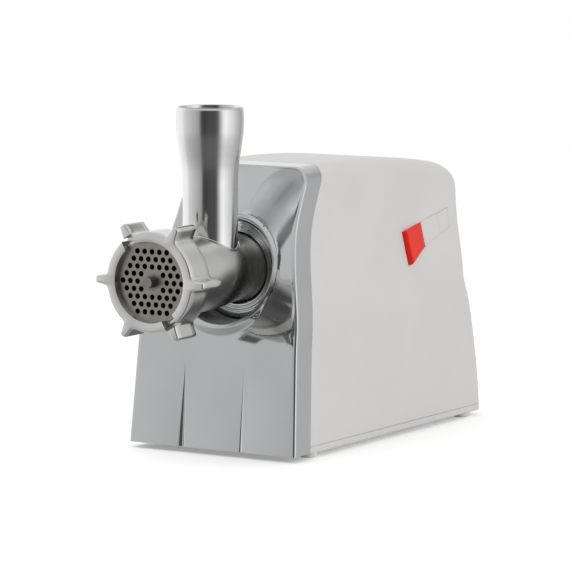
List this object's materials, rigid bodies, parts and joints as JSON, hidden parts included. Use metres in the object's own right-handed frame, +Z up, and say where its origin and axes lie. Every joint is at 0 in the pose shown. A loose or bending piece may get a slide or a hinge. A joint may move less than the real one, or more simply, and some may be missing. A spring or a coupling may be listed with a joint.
{
  "type": "electric meat grinder",
  "caption": "Household electric meat grinder: pinched plastic housing with a mirror front panel, detachable metal head with feed tube, cutting plate and lugged ring nut, red rocker switch.",
  "frame": {"origin": "on the table, under the middle of the bounding box", "axes": "+Y from the cutting plate to the back, along the auger; +X to the right seen from the front; +Z up"},
  "size_m": [0.1468, 0.3714, 0.2596],
  "materials": {
    "white_plastic": "satin",
    "chrome": "polished",
    "cast_aluminium": "satin cast",
    "polished_steel": "polished",
    "steel": "machined",
    "plate_steel": "ground",
    "dark_bush": "sintered",
    "red_plastic": "gloss",
    "foot_rubber": "matt",
    "dark_plastic": "matt",
    "nylon": "matt",
    "bronze": "sintered",
    "copper": "enamelled",
    "lamination": "stamped",
    "carbon": "matt",
    "cup_grey": "satin"
  },
  "bodies": {
    "housing": {"housing_shell": "white_plastic", "front_panel": "chrome", "base_plate": "white_plastic", "feet": "foot_rubber", "base_screws": "steel", "vent_grille": "white_plastic", "cord_gland": "dark_plastic", "socket_bezel": "chrome", "socket_cup": "cup_grey", "socket_collar": "chrome", "collar_screws": "steel", "gearbox_case": "cast_aluminium", "gearbox_cover": "cast_aluminium", "gearbox_screws": "steel", "output_bearing": "steel", "output_rear_bush": "bronze", "gear_shaft_bushes": "bronze", "stator_core": "lamination", "field_windings": "copper", "motor_front_bearing": "steel", "motor_rear_bearing": "steel", "motor_end_bracket": "cast_aluminium", "motor_posts": "steel", "brush_holders": "bronze", "carbon_brushes": "carbon", "brush_springs": "steel", "switch_tray": "white_plastic", "power_switch": "dark_plastic", "reverse_switch": "dark_plastic", "circuit_breaker": "dark_plastic", "terminal_block": "nylon"},
    "head": {"barrel": "cast_aluminium", "feed_tube": "polished_steel", "barrel_bush": "nylon", "cutting_plate": "plate_steel", "plate_bush": "dark_bush"},
    "ring": {"ring_nut": "cast_aluminium"},
    "drive": {"drive_shaft": "steel", "output_gear": "steel", "auger": "cast_aluminium", "cutter_knife": "steel"},
    "gear_b": {"second_gear": "nylon", "second_gear_shaft": "steel"},
    "gear_a": {"first_gear": "nylon", "first_gear_shaft": "steel"},
    "rotor": {"motor_shaft": "steel", "motor_pinion": "steel", "cooling_fan": "dark_plastic", "rotor_core": "lamination", "rotor_windings": "copper", "commutator": "copper"},
    "power": {"power_rocker": "red_plastic"},
    "reverse": {"reverse_button": "white_plastic"},
    "reset": {"reset_button": "white_plastic"}
  },
  "joints": [
    {"name": "drive_spin", "type": "hinge", "parent": "housing", "child": "drive", "pos_m": [0, -0.0469, 0.1372], "axis": [0, -1, 0], "continuous": true},
    {"name": "gear_b_spin", "type": "hinge", "parent": "housing", "child": "gear_b", "pos_m": [0.00857, -0.0219, 0.08896], "axis": [0, -1, 0], "continuous": true},
    {"name": "gear_a_spin", "type": "hinge", "parent": "housing", "child": "gear_a", "pos_m": [-0.02717, -0.0119, 0.07762], "axis": [0, -1, 0], "continuous": true},
    {"name": "rotor_spin", "type": "hinge", "parent": "housing", "child": "rotor", "pos_m": [0, 0.0431, 0.054], "axis": [0, -1, 0], "continuous": true},
    {"name": "head_twist", "type": "hinge", "parent": "housing", "child": "head", "pos_m": [0, -0.0619, 0.1372], "axis": [0, -1, 0], "range_deg": [0, 45]},
    {"name": "ring_nut_turn", "type": "hinge", "parent": "head", "child": "ring", "pos_m": [0, -0.1712, 0.1372], "axis": [0, -1, 0], "range_deg": [0, 720]},
    {"name": "power_rock", "type": "hinge", "parent": "housing", "child": "power", "pos_m": [0.05688, 0.0975, 0.14504], "axis": [0.2181, 0, -0.9759], "range_deg": [0, 8]},
    {"name": "reverse_press", "type": "slide", "parent": "housing", "child": "reverse", "axis": [-0.9759, 0, -0.2181], "range_m": [0, 0.003], "stiffness_N_per_m": 400, "springref_m": -0.001},
    {"name": "reset_press", "type": "slide", "parent": "housing", "child": "reset", "axis": [-0.9759, 0, -0.2181], "range_m": [0, 0.0025], "stiffness_N_per_m": 400, "springref_m": -0.001}
  ],
  "couplings": [
    {"joint": "gear_b_spin", "follows": "drive_spin", "ratio": -3},
    {"joint": "gear_a_spin", "follows": "drive_spin", "ratio": 12},
    {"joint": "rotor_spin", "follows": "drive_spin", "ratio": -60}
  ]
}
